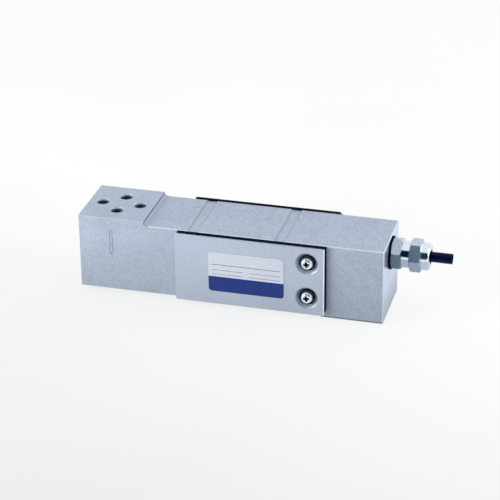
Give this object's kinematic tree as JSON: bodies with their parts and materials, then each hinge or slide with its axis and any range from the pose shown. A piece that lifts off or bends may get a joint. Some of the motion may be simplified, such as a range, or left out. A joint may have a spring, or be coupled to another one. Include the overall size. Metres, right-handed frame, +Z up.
{
  "type": "weighing load cell",
  "caption": "Single-point weighing load cell: steel bar with raised mounting pads, screwed side covers over a gauge cavity, and a cable gland on the end face.",
  "frame": {"origin": "middle of the four mounting holes, on the face of the fixed end's pad", "axes": "+X along the bar towards the cable, +Y across its width away from the label, +Z up, from the mounting pad to the loading pad"},
  "size_m": [0.1792, 0.043, 0.04],
  "materials": {
    "beam_steel": "fine-ground satin",
    "cover_steel": "satin sheet",
    "screw_steel": "bright zinc",
    "seal_rubber": "matte",
    "label_print": "printed foil",
    "gland_nickel": "nickel plated",
    "claw_plastic": "moulded",
    "cable_black": "glossy jacket",
    "shield_foil": "foil",
    "core_red": "insulation",
    "core_black": "insulation",
    "core_green": "insulation",
    "core_white": "insulation",
    "tinned_copper": "tinned",
    "pad_foam": "foam tape",
    "board_laminate": "solder mask",
    "resistor_body": "ceramic",
    "gauge_film": "polyimide film",
    "coat_silicone": "cured silicone",
    "lead_sleeve": "insulation"
  },
  "bodies": {
    "root": {"beam": "beam_steel", "front_cover": "cover_steel", "rear_cover": "cover_steel", "front_gasket": "seal_rubber", "rear_gasket": "seal_rubber", "cover_screw_1": "screw_steel", "cover_screw_2": "screw_steel", "cover_screw_3": "screw_steel", "cover_screw_4": "screw_steel", "cover_washer_1": "screw_steel", "cover_washer_2": "screw_steel", "cover_washer_3": "screw_steel", "cover_washer_4": "screw_steel", "seal_washer_1": "seal_rubber", "seal_washer_2": "seal_rubber", "seal_washer_3": "seal_rubber", "seal_washer_4": "seal_rubber", "label": "label_print", "gland_seal_ring": "seal_rubber", "gland_body": "gland_nickel", "gland_insert": "seal_rubber", "gland_claw": "claw_plastic", "gland_nut": "gland_nickel", "cable_jacket": "cable_black", "cable_shield": "shield_foil", "cable_core_1": "core_red", "cable_core_2": "core_black", "cable_core_3": "core_green", "cable_core_4": "core_white", "cable_conductor_1": "tinned_copper", "cable_conductor_2": "tinned_copper", "cable_conductor_3": "tinned_copper", "cable_conductor_4": "tinned_copper", "drain_wire": "tinned_copper", "board_pad": "pad_foam", "terminal_board": "board_laminate", "trim_resistor_1": "resistor_body", "trim_resistor_2": "resistor_body", "strain_gauge_1": "gauge_film", "strain_gauge_2": "gauge_film", "strain_gauge_3": "gauge_film", "strain_gauge_4": "gauge_film", "gauge_coat_1": "coat_silicone", "gauge_coat_2": "coat_silicone", "gauge_coat_3": "coat_silicone", "gauge_coat_4": "coat_silicone", "gauge_lead_1": "lead_sleeve", "gauge_lead_2": "lead_sleeve", "gauge_lead_3": "lead_sleeve", "gauge_lead_4": "lead_sleeve"}
  },
  "joints": []
}
